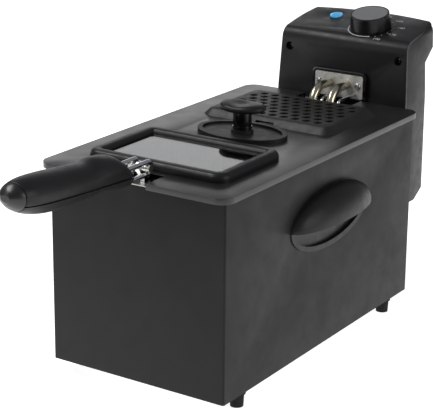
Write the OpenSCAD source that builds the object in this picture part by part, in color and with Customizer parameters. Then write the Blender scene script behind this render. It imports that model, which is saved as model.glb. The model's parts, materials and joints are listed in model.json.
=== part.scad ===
// Cold-zone deep fryer: sheet-metal housing, lift-out oil pan, hang-on control unit
// with heater, wire basket with a swinging handle, and a flat lid.
// Millimetres, +X right, +Y to the rear, +Z up. The housing stands on z = 0.

/* [Housing] */
// Width of the sheet-metal housing
body_w = 184.4; // [180:0.2:188]
// Length of the housing, front to rear
body_l = 340; // [336:1:346]
// Height of the housing sheet
body_h = 181; // [170:1:195]
// Radius of the upright edges
body_r = 2; // [1.5:0.5:6]
// Height of the rubber feet
foot_h = 14; // [10:1:18]
// Thickness of the housing sheet
sheet_t = 1; // [0.8:0.1:1.2]

/* [Lid] */
// Width of the lid
lid_w = 197.6; // [196:0.2:202]
// Length of the lid
lid_l = 350; // [348:1:356]
// Height of the folded rim of the lid
rim_h = 5.4; // [5:0.1:6.8]
// Thickness of the lid sheet
lid_t = 1.2; // [0.8:0.1:1.5]
// Width of the notch for the basket handle
notch_w = 36; // [34:1:40]
// Width of the notch for the heater tubes
tube_notch_w = 64; // [56:1:70]

/* [Control unit] */
// Slope of the control panel
panel_slope = 12; // [8:1:14]
// Half width of the control unit at its base
unit_hw = 75; // [74:0.5:76]
// Wall thickness of the moulded covers
wall = 2.4; // [2:0.1:2.8]
// Radius of the thermostat knob at its skirt
knob_r = 21; // [18:0.5:22]
// Height of the thermostat knob
knob_h = 15.5; // [12:0.5:18]

/* [Heater and basket] */
// Radius of a heater tube
tube_r = 4; // [3.5:0.1:4]
// Depth of the basket
basket_h = 116; // [90:2:116]
// Radius of the chrome handle wire
wire_r = 2.25; // [2:0.05:2.25]

/* [Hidden] */
$fn = 48;
eps = 0.01;

// Every y below is measured from the lid's centre. The fryer's origin is under the
// middle of its bounding box, which runs from the grip's tip to the control unit's rear.
rear_head_y = 260.5;
grip_tip_y = -332.6;
lid_y = -(rear_head_y + grip_tip_y) / 2;

// Heights
z_rim = foot_h + body_h;
flange_t = 1;
z_lid = z_rim + flange_t + 6.2;
body_y = 4.5;
body_rear = body_y + body_l / 2;
body_front = body_y - body_l / 2;

// Oil pan
pan_hw = 80;
pan_front = -156;
pan_rear = 161;
pan_floor = 28;

// Window and filter openings of the lid
window_y = -91;
window_w = 146;
window_l = 100;
window_hole = [window_w - 30, 70];
window_sight = [window_w - 26, 74];
glass_size = [window_w - 16.4, 83.6];
window_bar = 13;
window_h = 8;
glass_t = 3;
filter_y = 91;
filter_w = 145;
filter_l = 100;
filter_h = 6.5;

// Lid knob
knob_y = 4;

// Control unit, side view: y and height above the lid
unit_front = 181;
unit_base = -108;
face_base_y = 190.5;
face_top_y = 193.5;
shoulder_z = -9;
nose_r = 12;
nose_y = face_top_y + nose_r - 0.2;
nose_z = 49.6;
panel_y0 = nose_y - nose_r * sin(panel_slope);
panel_z0 = nose_z + nose_r * cos(panel_slope);
rear_r = 351;
rear_low_y = 235.8;
overhang_z = 34;
overhang_slope = 0.75;
side_gap = 0.4;
rear_face_y = rear_low_y - side_gap;
rear_inner_y = rear_face_y - wall;

// Places on the control unit
dial_x = 16.3;
dial_y = 220.8;
lamp_x = -34.6;
lamp_y = 239.6;
plate_w = 55;
plate_z = [-2, 22];
plate_y = 186.3;
tube_x = 10;
tube_z = 12;
case_screw_x = 62.7;
case_screw_z = 41.5;
rear_screw_x = 64;
rear_screw_z = [-92, 14];
reset_x = -30;
reset_z = -70;
switch_x = 40;
switch_z = -60;
gland_x = 38;
gland_z = -84;

// Heater
bend_r = 20;
heater_z = 45;
drop_y = 150;
loop_hw = 50;
loop_rear = 115;
loop_front = -110;
loop_r = 15;

// Basket
basket_w = 136;
basket_front = -138;
basket_rear = 126;
basket_top = 188;
mesh_t = 0.6;
basket_r = 12;

// Basket handle
pivot_y = -157;
pivot_z = z_lid + 7.5;
pin_r = 3.2;
loop_bend = pin_r + 0.05 + wire_r;
wire_x = 7;

// Side handles
grip_y = 11;
grip_z = z_lid - 63.5;
grip_l = 140;
grip_hh = 30;
hood_out = 21;
pocket_d = 3;

paint = "#3a3a3b";
plastic = "#2b2b2c";
steel = "#c8c6c0";
chrome = "#d8dadd";

// ---- shapes ----------------------------------------------------------------

module home() translate([0, lid_y, 0]) children();

function arc(c, r, a0, a1, n = 8) =
    [for (i = [0:n]) let (a = a0 + (a1 - a0) * i / n) c + r * [cos(a), sin(a)]];

function oval(a, b, n = 48) = [for (i = [0:n - 1]) [a * cos(360 * i / n), b * sin(360 * i / n)]];

module rounded(w, l, r) {
    square([w - 2 * r, l], center = true);
    square([w, l - 2 * r], center = true);
    for (x = [-1, 1], y = [-1, 1])
        translate([x * (w / 2 - r), y * (l / 2 - r)]) circle(r);
}

// Upright block with rounded corners, centred on y
module slab(w, l, h, r, y = 0, z = 0)
    translate([0, y, z]) linear_extrude(h) rounded(w, l, r);

// The 2-D child, drawn with x outward from the path, carried round a rounded rectangle
module ring_sweep(w, l, r) {
    for (s = [0, 180])
        rotate([0, 0, s]) {
            translate([w / 2, l / 2 - r, 0]) rotate([90, 0, 0]) linear_extrude(l - 2 * r) children();
            translate([w / 2 - r, l / 2, 0]) rotate([90, 0, -90]) mirror([1, 0, 0])
                linear_extrude(w - 2 * r) children();
        }
    for (k = [0:3]) {
        sx = k == 0 || k == 3 ? 1 : -1;
        sy = k < 2 ? 1 : -1;
        translate([sx * (w / 2 - r), sy * (l / 2 - r), 0]) rotate([0, 0, 90 * k])
            rotate_extrude(angle = 90) translate([r, 0]) children();
    }
}

module rod(from, to, r) {
    d = to - from;
    len = norm(d);
    translate(from) rotate([0, acos(d[2] / len), atan2(d[1], d[0])]) cylinder(h = len, r = r);
}

// Quarter bend of a tube in a horizontal plane, from angle a round its centre
module bend(c, radius, a, r, sweep = 90)
    translate(c) rotate([0, 0, a]) rotate_extrude(angle = sweep) translate([radius, 0]) circle(r);

// Cylinder along +Y
module along_y(x, y, z, r, h) translate([x, y, z]) rotate([-90, 0, 0]) cylinder(h = h, r = r);

// Places its child on the sloping control panel, z along the panel's normal
function panel_height(y) = z_lid + panel_z0 + (y - panel_y0) * tan(panel_slope);

module on_panel(x, y) translate([x, y, panel_height(y)]) rotate([panel_slope, 0, 0]) children();

// ---- housing ---------------------------------------------------------------

module handle_hole()
    translate([0, grip_y, grip_z]) rotate([90, 0, 90])
        linear_extrude(body_w, center = true) polygon(oval(grip_l / 2 - 3, grip_hh - 3));

module housing() color(paint) home() difference() {
    slab(body_w, body_l, body_h, body_r, body_y, foot_h);
    slab(body_w - 2 * sheet_t, body_l - 2 * sheet_t, body_h - 2 * sheet_t,
        body_r - sheet_t, body_y, foot_h + sheet_t);
    // opening for the pan, inside the folded top edge
    slab(2 * pan_hw + 6, pan_rear - pan_front + 6, 3, 8, (pan_front + pan_rear) / 2, z_rim - 2);
    // opening of the underside, inside the folded bottom edge
    slab(body_w - 36, body_l - 36, 3, 8, body_y, foot_h - 1);
    handle_hole();
    at_feet() cylinder(h = 3, r = 1.75, center = true);
    at_rivets() along_y(0, -3, 0, 1.5, 4);
}

module at_feet() for (x = [-84, 84], y = [-131.4, 139.4]) translate([x, y, foot_h]) children();

module at_rivets()
    for (x = [-68, 68], z = [112, 175]) translate([x, body_rear, z]) children();

module base_plate() color("#8f9295") home() difference() {
    slab(body_w - 2.4, body_l - 2.4, 1.2, 4, body_y, foot_h + sheet_t);
    for (i = [-3:3]) translate([0, body_y + 34 * i, foot_h]) cube([70, 6, 8], center = true);
    at_feet() cylinder(h = 12, r = 1.75, center = true);
}

module feet() color("#1b1b1b") home() at_feet() difference() {
    union() {
        translate([0, 0, -foot_h]) cylinder(h = foot_h - 2, r1 = 6, r2 = 6.6);
        translate([0, 0, -2]) cylinder(h = 2, r = 8);
    }
    translate([0, 0, -foot_h - 1]) cylinder(h = 7, r = 3.2);
    translate([0, 0, -foot_h]) cylinder(h = foot_h + 1, r = 1.75);
}

module foot_screws() color(steel) home() at_feet() {
    translate([0, 0, 4 - foot_h]) cylinder(h = 2, r = 3);
    translate([0, 0, 6 - foot_h]) cylinder(h = foot_h - 1, r = 1.75);
}

// Half of an ellipsoid that bulges from the side wall, above the finger pocket
module hood_solid(out, half_l, half_h)
    translate([body_w / 2, grip_y, grip_z]) intersection() {
        scale([out, half_l, half_h]) sphere(1, $fn = 64);
        translate([0, -100, 0]) cube([60, 200, 60]);
    }

module side_handle() {
    // pocket: an oval cup let into the wall, with a flat floor
    translate([0, grip_y, grip_z]) rotate([90, 0, 90]) {
        translate([0, 0, body_w / 2 - pocket_d - 1.6]) linear_extrude(1.6) polygon(oval(grip_l / 2 - 3, grip_hh - 3));
        translate([0, 0, body_w / 2 - pocket_d]) linear_extrude(pocket_d) difference() {
            polygon(oval(grip_l / 2 - 3, grip_hh - 3));
            polygon(oval(grip_l / 2 - 5, grip_hh - 5));
        }
        // raised bead that covers the edge of the cut-out
        translate([0, 0, body_w / 2]) linear_extrude(0.8) difference() {
            polygon(oval(grip_l / 2, grip_hh));
            polygon(oval(grip_l / 2 - 5, grip_hh - 5));
        }
    }
    difference() {
        hood_solid(hood_out, grip_l / 2 - 0.5, grip_hh - 0.5);
        hood_solid(hood_out - 3, grip_l / 2 - 4, grip_hh - 3.5);
    }
}

module at_hood_screws(d)
    for (y = [grip_y - 54, grip_y + 54]) translate([body_w / 2 - d, y, grip_z + 8]) rotate([0, 90, 0]) children();

module side_handle_right() color(plastic) home() difference() {
    side_handle();
    at_hood_screws(pocket_d + 4) cylinder(h = 9, r = 1.5);
}

module side_handle_left() color(plastic) home() mirror([1, 0, 0]) difference() {
    side_handle();
    at_hood_screws(pocket_d + 4) cylinder(h = 9, r = 1.5);
}

module handle_screws() color(steel) home() for (m = [0, 1]) mirror([m, 0, 0]) at_hood_screws(pocket_d + 1.6) {
    cylinder(h = 1.6, r = 1.5);
    translate([0, 0, -1.5]) cylinder(h = 1.5, r = 3);
    translate([0, 0, 1.6]) cylinder(h = 1.2, r = 2.8);
}

module guide_rails() color("#9a9da0") home() difference() {
    for (m = [0, 1]) mirror([m, 0, 0]) translate([0, 0, 100]) linear_extrude(85) {
        translate([62, body_rear]) square([12, 1.2]);
        translate([62, body_rear]) square([1.2, 6]);
        translate([55, body_rear + 4.8]) square([8.2, 1.2]);
    }
    at_rivets() along_y(0, -1, 0, 1.5, 4);
}

module rail_rivets() color(steel) home() at_rivets() {
    along_y(0, -2, 0, 2.6, 1);
    along_y(0, -1, 0, 1.5, 2.2);
    along_y(0, 1.2, 0, 2.6, 1.2);
}

// ---- oil pan ---------------------------------------------------------------

module oil_pan() color("#b9bbbd") home() {
    pan_l = pan_rear - pan_front;
    pan_y = (pan_rear + pan_front) / 2;
    difference() {
        slab(2 * pan_hw, pan_l, z_rim + flange_t - pan_floor, 20, pan_y, pan_floor);
        slab(2 * pan_hw - 1.6, pan_l - 1.6, body_h, 19.2, pan_y, pan_floor + 0.8);
    }
    // flange that rests on the folded edge of the housing
    difference() {
        slab(body_w - 2.4, body_l - 2.4, flange_t, 5, body_y, z_rim);
        slab(2 * pan_hw - 1.6, pan_l - 1.6, 3, 19.2, pan_y, z_rim - 1);
    }
    // oil level marks pressed into the side
    for (z = [108, 150]) translate([-pan_hw + 0.7, -30, z]) cube([0.6, 40, 1.2]);
}

// ---- control unit ----------------------------------------------------------

// Side outline, drawn in (y, height above the lid) and inset by t at front and top
function unit_outline(t) = concat(
    [[300, unit_base - 40], [unit_front + t, unit_base - 40], [unit_front + t, shoulder_z - 7],
     [face_base_y + t, shoulder_z]],
    arc([nose_y, nose_z], nose_r - t, 178, 90 + panel_slope, 10),
    [[300, nose_z + (nose_r - t) / cos(panel_slope) + (300 - nose_y) * tan(panel_slope)]]
);

module unit_side(t) rotate([90, 0, 90]) linear_extrude(200, center = true)
    translate([0, z_lid]) polygon(unit_outline(t));

// Front outline in (x, height above the lid), inset by t
module unit_front_view(t) {
    hw = unit_hw - t;
    corner = 12;
    side = concat(
        [[hw, unit_base + t], [hw - 0.7, 0]],
        arc([hw - 3.5 - corner, 62 - t], corner, 0, 90, 8)
    );
    rotate([90, 0, 0]) translate([0, z_lid, -300]) linear_extrude(200)
        polygon(concat(side, [for (i = [len(side) - 1:-1:0]) [-side[i][0], side[i][1]]]));
}

// Rear outline: the head is bowed round a far centre and overhangs the flat back below
module unit_rear(t) intersection() {
    translate([0, rear_head_y - rear_r, 0]) cylinder(h = 400, r = rear_r - t, $fn = 360);
    rotate([90, 0, 90]) linear_extrude(200, center = true) translate([0, z_lid]) polygon([
        [150, unit_base], [219 - t, unit_base], [rear_low_y - t, unit_base + 10],
        [rear_low_y - t, overhang_z], [rear_low_y + 32 - t, overhang_z + 32 * overhang_slope],
        [rear_low_y + 32 - t, 90], [150, 90]
    ]);
}

module unit_solid(front, sides) intersection() {
    unit_side(front);
    unit_front_view(sides);
    unit_rear(sides);
}

module case_screw_cups(r, from, to)
    for (x = [-1, 1]) along_y(x * case_screw_x, from, z_lid + case_screw_z, r, to - from);

module at_rear_screws()
    for (x = [-1, 1], z = rear_screw_z) translate([x * rear_screw_x, 0, z_lid + z]) children();

module tube_holes()
    for (x = [-1, 1]) along_y(x * tube_x, 170, z_lid + tube_z, tube_r, 40);

module sensor_holes()
    for (x = sensor_x) along_y(x, 170, z_lid + sensor_z, sensor_r, 40);

module front_shell() color(plastic) home() difference() {
    union() {
        difference() {
            unit_solid(0, 0);
            unit_side(wall);
        }
        intersection() {
            unit_solid(0, 0);
            union() {
                case_screw_cups(6.4, 192, 202);
                at_rear_screws() along_y(0, 182, 0, 4.5, 44);
            }
        }
    }
    case_screw_cups(4.4, 180, 199);
    case_screw_cups(1.75, 180, 215);
    at_rear_screws() along_y(0, 205, 0, 1.75, 40);
    tube_holes();
    sensor_holes();
    on_panel(dial_x, dial_y) cylinder(h = 20, r = 5, center = true);
    on_panel(lamp_x, lamp_y) cylinder(h = 20, r = 5, center = true);
    along_y(switch_x, 170, z_lid + switch_z, 2.55, 30);
}

seam = 0.8;

module rear_cover() color(plastic) home() difference() {
    union() {
        difference() {
            unit_solid(wall + seam, side_gap);
            unit_solid(wall - 1, wall + side_gap);
        }
        intersection() {
            unit_solid(wall + seam, 1);
            case_screw_cups(4.5, 202, 260);
        }
    }
    case_screw_cups(1.75, 190, 218);
    at_rear_screws() along_y(0, 205, 0, 1.75, 40);
    along_y(reset_x, 220, z_lid + reset_z, 5.05, 40);
    along_y(gland_x, 220, z_lid + gland_z, 8, 40);
}

module hanger_plate() color("#9a9da0") home() {
    difference() {
        translate([-61.5, body_rear + 1.7, 107]) cube([123, 2, 74]);
        // the plunger of the safety switch passes here
        along_y(switch_x, body_rear, z_lid + switch_z, 3.2, 6);
    }
    translate([-20, body_rear + 3.7, 120]) cube([40, unit_front - body_rear - 3.7, 50]);
}

module case_screws() color(steel) home() {
    case_screw_cups(3.4, 197, 199);
    case_screw_cups(1.75, 199, 214);
}

module rear_screws() color(steel) home() at_rear_screws() {
    along_y(0, 210, 0, 1.75, rear_face_y - 210);
    along_y(0, rear_face_y, 0, 3.5, 1.8);
}

module dial_ring() color("#8d9092") home() on_panel(dial_x, dial_y) difference() {
    cylinder(h = 0.4, r = knob_r + 3.6);
    translate([0, 0, -1]) cylinder(h = 3, r = knob_r - 4);
}

module lamp_lens() color("#4fa6d8") home() on_panel(lamp_x, lamp_y) {
    cylinder(h = 1, r = 6.7);
    translate([0, 0, 1]) cylinder(h = 1, r1 = 6, r2 = 4);
    translate([0, 0, -wall]) cylinder(h = wall, r = 5);
}

module neon_lamp() color("#e0a36a") home() on_panel(lamp_x, lamp_y)
    translate([0, 0, -wall - 10]) cylinder(h = 10, r = 4);

module thermostat() color("#d9d4c4") home() on_panel(dial_x, dial_y) difference() {
    union() {
        translate([-16, -16, -24]) cube([32, 28, 18]);
        translate([0, 0, -6]) cylinder(h = 6 - wall, r = 8);
        translate([0, 0, -wall]) cylinder(h = wall, r = 5);
    }
    translate([0, 0, -14]) cylinder(h = 20, r = 3.05);
}

module element_block() color("#151515") home() difference() {
    translate([0, plate_y + 0.5, z_lid + (plate_z[0] + plate_z[1]) / 2]) rotate([-90, 0, 0])
        linear_extrude(8) rounded(plate_w + 7, plate_z[1] - plate_z[0] + 7, 5);
    translate([0, plate_y - 0.5, z_lid + (plate_z[0] + plate_z[1]) / 2]) rotate([-90, 0, 0])
        linear_extrude(2) rounded(plate_w, plate_z[1] - plate_z[0], 2);
    unit_side(0);
    tube_holes();
    sensor_holes();
    plate_screw_holes();
}

module plate_screw_holes()
    for (x = [-22, 22]) along_y(x, 180, z_lid + tube_z - 0.5, 1.6, 9);

module element_plate() color(steel) home() difference() {
    translate([0, plate_y, z_lid + (plate_z[0] + plate_z[1]) / 2]) rotate([-90, 0, 0])
        linear_extrude(1.5) rounded(plate_w, plate_z[1] - plate_z[0], 2);
    tube_holes();
    sensor_holes();
    plate_screw_holes();
}

module element_screws() color(chrome) home() for (x = [-22, 22]) {
    along_y(x, plate_y - 1.8, z_lid + tube_z - 0.5, 3.4, 1.8);
    along_y(x, plate_y, z_lid + tube_z - 0.5, 1.6, 2.7);
}

// One half of the heater: out of the plate, down into the pan and round to the middle
// of the loop's front bar
module heater_half() {
    z0 = z_lid + tube_z;
    x = tube_x;
    along_y(x, drop_y + bend_r, z0, tube_r, 203 - drop_y - bend_r);
    translate([x, drop_y + bend_r, z0 - bend_r]) rotate([0, -90, 0]) rotate([0, 0, -90])
        rotate_extrude(angle = 90) translate([bend_r, 0]) circle(tube_r);
    translate([x, drop_y, heater_z + bend_r]) cylinder(h = z0 - heater_z - 2 * bend_r, r = tube_r);
    translate([x, drop_y - bend_r, heater_z + bend_r]) rotate([0, -90, 0]) rotate([0, 0, 90])
        rotate_extrude(angle = 90) translate([bend_r, 0]) circle(tube_r);
    bend([x + loop_r, loop_rear + loop_r, heater_z], loop_r, 180, tube_r);
    rod([x + loop_r, loop_rear, heater_z], [loop_hw - loop_r, loop_rear, heater_z], tube_r);
    bend([loop_hw - loop_r, loop_rear - loop_r, heater_z], loop_r, 0, tube_r);
    along_y(loop_hw, loop_front + loop_r, heater_z, tube_r, loop_rear - loop_front - 2 * loop_r);
    bend([loop_hw - loop_r, loop_front + loop_r, heater_z], loop_r, -90, tube_r);
    rod([0, loop_front, heater_z], [loop_hw - loop_r, loop_front, heater_z], tube_r);
}

module heating_element() color("#b9ac86") home() {
    heater_half();
    mirror([1, 0, 0]) heater_half();
}

sensor_x = [0, 19];
sensor_z = 3;
sensor_r = 1.6;
sensor_bend = 8;
bulb_r = 3;
bulb_top = 110;

module sensor_tubes() color(chrome) home() for (x = sensor_x) {
    y = drop_y + sensor_bend;
    z = z_lid + sensor_z;
    along_y(x, y, z, sensor_r, 196 - y);
    translate([x, y, z - sensor_bend]) rotate([0, -90, 0]) rotate([0, 0, -90])
        rotate_extrude(angle = 90) translate([sensor_bend, 0]) circle(sensor_r);
    translate([x, drop_y, bulb_top]) cylinder(h = z - sensor_bend - bulb_top, r = sensor_r);
    translate([x, drop_y, 58]) cylinder(h = bulb_top - 58, r = bulb_r);
}

module sensor_clamp() color(steel) home() difference() {
    translate([-17, drop_y - 7, 84]) cube([43, 14, 6]);
    for (x = [-tube_x, tube_x]) translate([x, drop_y, 80]) cylinder(h = 20, r = tube_r);
    for (x = sensor_x) translate([x, drop_y, 80]) cylinder(h = 20, r = bulb_r);
}

module terminal_block() color("#e4e0d2") home() difference() {
    translate([-26, 198, z_lid - 6]) cube([52, 16, 30]);
    tube_holes();
    for (x = [-18, 0, 18]) translate([x, 206, z_lid + 12]) cylinder(h = 20, r = 1.2);
}

module lead_wires() color("#8c2f26") home() for (x = [-18, 0, 18])
    translate([x, 206, z_lid + 12]) cylinder(h = 24, r = 1.2);

module thermal_cutout() color("#d8d4c8") home() difference() {
    along_y(reset_x, 206, z_lid + reset_z, 10, rear_inner_y - 206);
    along_y(reset_x, 212, z_lid + reset_z, 5.05, 30);
}

module reset_button() color("#b3322a") home()
    along_y(reset_x, 216, z_lid + reset_z, 5, rear_face_y + 2.2 - 216);

module microswitch() color("#222222") home() difference() {
    translate([switch_x - 10, unit_front + wall, z_lid + switch_z - 8]) cube([20, 12, 16]);
    along_y(switch_x, 170, z_lid + switch_z, 2.55, 22);
}

module switch_plunger() color("#c9c9c6") home()
    along_y(switch_x, body_rear + 0.4, z_lid + switch_z, 2.5, 12);

module cord_gland() color("#1d1d1d") home() difference() {
    union() {
        along_y(gland_x, rear_inner_y, z_lid + gland_z, 8, 16);
        along_y(gland_x, rear_inner_y - 4, z_lid + gland_z, 10, 4);
        along_y(gland_x, rear_inner_y + 11, z_lid + gland_z, 9.5, 5);
    }
    along_y(gland_x, 200, z_lid + gland_z, 3.6, 60);
}

// ---- thermostat knob -------------------------------------------------------

module knob() color("#1c1c1d") home() on_panel(dial_x, dial_y) difference() {
    translate([0, 0, 0.8]) cylinder(h = knob_h, r1 = knob_r, r2 = knob_r - 1.2);
    difference() {
        cylinder(h = knob_h - 3, r = knob_r - 3);
        translate([0, 0, 3]) cylinder(h = knob_h, r = 6);
    }
    translate([0, 0, -1]) cylinder(h = knob_h - 4, r = 3);
    translate([0, 0, knob_h - 0.2]) cylinder(h = 2, r = knob_r - 3);
}

module knob_insert() color("#59595a") home() on_panel(dial_x, dial_y)
    translate([0, 0, knob_h - 0.2]) cylinder(h = 1, r = knob_r - 3);

module knob_shaft() color(steel) home() on_panel(dial_x, dial_y)
    translate([0, 0, -12]) cylinder(h = knob_h + 7, r = 3);

// ---- basket ----------------------------------------------------------------

basket_l = basket_rear - basket_front;
basket_y = (basket_rear + basket_front) / 2;
basket_floor = basket_top - basket_h;
cage_r = 1.5;
rim_r = 2;

module basket_mesh() color("#bfc1c3") home() difference() {
    slab(basket_w, basket_l, basket_h, basket_r, basket_y, basket_floor);
    slab(basket_w - 2 * mesh_t, basket_l - 2 * mesh_t, basket_h, basket_r - mesh_t,
        basket_y, basket_floor + mesh_t);
}

strut_x = basket_w / 2 + cage_r;

module basket_hoops() color(chrome) home() {
    translate([0, basket_y, basket_top + rim_r]) ring_sweep(basket_w, basket_l, basket_r) circle(rim_r);
    translate([0, basket_y, basket_floor])
        ring_sweep(2 * strut_x, basket_l + 2 * cage_r, basket_r + cage_r) circle(cage_r);
}

module basket_struts() color(chrome) home() for (x = [-strut_x, strut_x], y = [-90, 80])
    translate([x, y, basket_floor + cage_r]) cylinder(h = basket_h - cage_r, r = cage_r);

// Cross wires under the floor, and the posts that stand on the heater loop
module basket_feet() color(chrome) home() for (y = [-58, 72]) {
    z = basket_floor - 2 * cage_r;
    rod([-strut_x, y, z], [strut_x, y, z], cage_r);
    for (x = [-loop_hw, loop_hw]) rod([x, y, heater_z + tube_r], [x, y, z], cage_r);
}

module basket_bracket() color(chrome) home() difference() {
    union() {
        translate([-20, basket_front - 2 * cage_r - 1.2, 150]) cube([40, 1.2, 36]);
        rotate([90, 0, 90]) linear_extrude(4.4, center = true) union() {
            polygon([
                [basket_front - 4.1, 172], [basket_front - 4.1, 186], [-149, 192],
                [-149.5, 204], [pivot_y + 4.4, pivot_z + 2.4], [pivot_y - 4, pivot_z - 3],
                [-154.5, 199], [-154.5, 184]
            ]);
            translate([pivot_y, pivot_z]) circle(5);
        }
    }
    pivot_axis(pin_r, 40);
}

module pivot_axis(r, len)
    translate([0, pivot_y, pivot_z]) rotate([0, 90, 0]) cylinder(h = len, r = r, center = true);

module pivot_pin() color(steel) home() pivot_axis(pin_r, 22);

// ---- basket handle ---------------------------------------------------------

module handle_wires() color(chrome) home() for (x = [-wire_x, wire_x]) {
    translate([x, pivot_y, pivot_z]) rotate([0, 90, 0]) rotate_extrude(angle = 180)
        translate([loop_bend, 0]) circle(wire_r);
    for (s = [-1, 1]) along_y(x, -196, pivot_z + s * loop_bend, wire_r, 196 + pivot_y);
}

// The end cap starts at cap_y. Stations of the grip: y, height of its middle above the
// lid, half height, half width
cap_y = -322.5;
grip_stations = [
    [-181, 6.5, 6, 11], [-186, 8.6, 9, 12.4], [-194, 12, 12.2, 13.8], [-206, 15.2, 14.8, 15.2],
    [-222, 17, 15.4, 16.2], [-238, 16, 15.2, 16], [-262, 17.2, 16.4, 16.6], [-290, 19.6, 16.8, 17],
    [-310, 22.2, 15, 16], [cap_y, 24, 11.6, 13.2], [-329, 25, 7.4, 9.4], [grip_tip_y, 25.4, 3, 4.6]
];
grip_sides = 24;

module grip_solid() {
    n = len(grip_stations);
    points = [for (s = grip_stations, k = [0:grip_sides - 1])
        let (a = 360 * k / grip_sides) [s[3] * cos(a), s[0], z_lid + s[1] + s[2] * sin(a)]];
    sides = [for (i = [0:n - 2], k = [0:grip_sides - 1])
        let (a = i * grip_sides + k, b = i * grip_sides + (k + 1) % grip_sides)
        [a, b, b + grip_sides, a + grip_sides]];
    front = [for (k = [grip_sides - 1:-1:0]) k];
    tip = [for (k = [0:grip_sides - 1]) (n - 1) * grip_sides + k];
    polyhedron(points, concat(sides, [front], [tip]), convexity = 4);
}

// Everything above the parting plane, which rises gently towards the tip
module above_parting()
    translate([-50, -181, z_lid + 6.5]) rotate([-4.5, 0, 0]) translate([0, -200, 0]) cube([100, 220, 80]);

module wire_sockets()
    for (x = [-wire_x, wire_x], s = [-1, 1]) along_y(x, -197, pivot_z + s * loop_bend, wire_r + 0.1, 30);

module grip_body() difference() {
    grip_solid();
    wire_sockets();
    translate([-50, -400, 0]) cube([100, 400 + cap_y, 400]);
}

module grip_upper() color(plastic) home() intersection() {
    grip_body();
    above_parting();
}

module grip_lower() color(plastic) home() difference() {
    grip_body();
    above_parting();
}

module grip_end_cap() color("#1f1f20") home() intersection() {
    grip_solid();
    translate([-50, -400, 0]) cube([100, 400 + cap_y, 400]);
}

// ---- lid -------------------------------------------------------------------

module lid_notches() {
    translate([-notch_w / 2, -200, z_rim - 5]) cube([notch_w, 200 - 146, 20]);
    translate([-tube_notch_w / 2, 143, z_rim - 5]) cube([tube_notch_w, 60, 20]);
}

module lid_panel() color("#58595b") home() difference() {
    slab(lid_w, lid_l, rim_h, 13, 0, z_lid - rim_h);
    slab(lid_w - 2 * lid_t, lid_l - 2 * lid_t, rim_h, 13 - lid_t, 0, z_lid - rim_h - lid_t);
    lid_notches();
    slab(window_hole.x, window_hole.y, 8, 4, window_y, z_lid - 4);
    slab(116, 82, 8, 4, filter_y, z_lid - 4);
    translate([0, knob_y, z_lid - 5]) cylinder(h = 10, r = 2.5);
}

module lid_liner() color("#9fa2a4") home() difference() {
    slab(175, 333.5, z_lid - lid_t - z_rim - flange_t, 8, body_y + 0.25, z_rim + flange_t);
    slab(167, 325.5, 20, 5, body_y + 0.25, z_rim - 5);
    lid_notches();
}

// Section of a window bar: flat below, rounded above
module bar_section(w, h, r) polygon(concat(
    [[-w / 2, 0], [w / 2, 0]],
    arc([w / 2 - r, h - r], r, 0, 90, 6),
    arc([-w / 2 + r, h - r], r, 90, 180, 6)
));

module window_frame() color(plastic) home() difference() {
    translate([0, window_y, z_lid])
        ring_sweep(window_w - window_bar, window_l - window_bar, 6.6)
            bar_section(window_bar, window_h, 5.5);
    slab(glass_size.x + 0.4, glass_size.y + 0.4, 2 * (glass_t + 0.8), 2, window_y, z_lid - glass_t - 0.8);
}

module window_seal() color("#3b3b3b") home() difference() {
    slab(glass_size.x - 1.6, glass_size.y - 1.6, 0.8, 3, window_y, z_lid);
    slab(window_sight.x, window_sight.y, 3, 3, window_y, z_lid - 1);
}

module window_glass() color("#cfd8da", 0.5) home()
    slab(glass_size.x, glass_size.y, glass_t, 2, window_y, z_lid + 0.8);

module lid_handle_base() color(plastic) home() translate([0, knob_y, z_lid]) difference() {
    union() {
        linear_extrude(1.8) polygon(oval(42, 27));
        linear_extrude(3.8) difference() {
            polygon(oval(45.6, 30.6));
            polygon(oval(41, 26));
        }
        cylinder(h = 5, r = 10.5);
    }
    translate([0, 0, -1]) cylinder(h = 10, r = 2.5);
}

module lid_handle_stem() color("#151515") home() translate([0, knob_y, z_lid + 5]) difference() {
    union() {
        cylinder(h = 18, r = 8.7);
        translate([0, 0, 1]) cylinder(h = 2, r = 9.2);
    }
    translate([0, 0, -1]) cylinder(h = 14, r = 2.5);
}

module lid_handle_cap() color(plastic) home() difference() {
    translate([0, knob_y, z_lid + 23]) hull() {
        scale([23.4, 16.8, 5.8]) translate([0, 0, 0.5]) sphere(1, $fn = 32);
        linear_extrude(1) polygon(oval(20.6, 13.4, 32));
    }
    translate([-50, -50, z_lid]) cube([100, 100, 23]);
    translate([0, knob_y, z_lid + 23 + 9.6]) scale([14, 10, 3.2]) sphere(1, $fn = 32);
}

module lid_handle_screw() color(steel) home() translate([0, knob_y, 0]) {
    translate([0, 0, z_lid - lid_t - 2]) cylinder(h = 2, r = 5);
    translate([0, 0, z_lid - lid_t]) cylinder(h = lid_t + 15, r = 2.5);
}

module filter_tray() color("#a7a9ab") home() difference() {
    slab(124, 88, 0.8, 4, filter_y, z_lid);
    for (i = [-5:5]) translate([10 * i, filter_y, z_lid]) cube([5, 70, 8], center = true);
}

module filter_mat() color("#6d6a62") home() slab(114, 80, 3.4, 3, filter_y, z_lid + 0.8);

// Staggered rows of six-sided holes
module filter_holes()
    for (row = [-3:3]) {
        last = abs(row) % 2 == 0 ? 9 : 8;
        for (i = [0:last])
            translate([12.4 * (i - last / 2), filter_y + 11 * row, z_lid])
                linear_extrude(20) circle(4.5, $fn = 6);
    }

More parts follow.
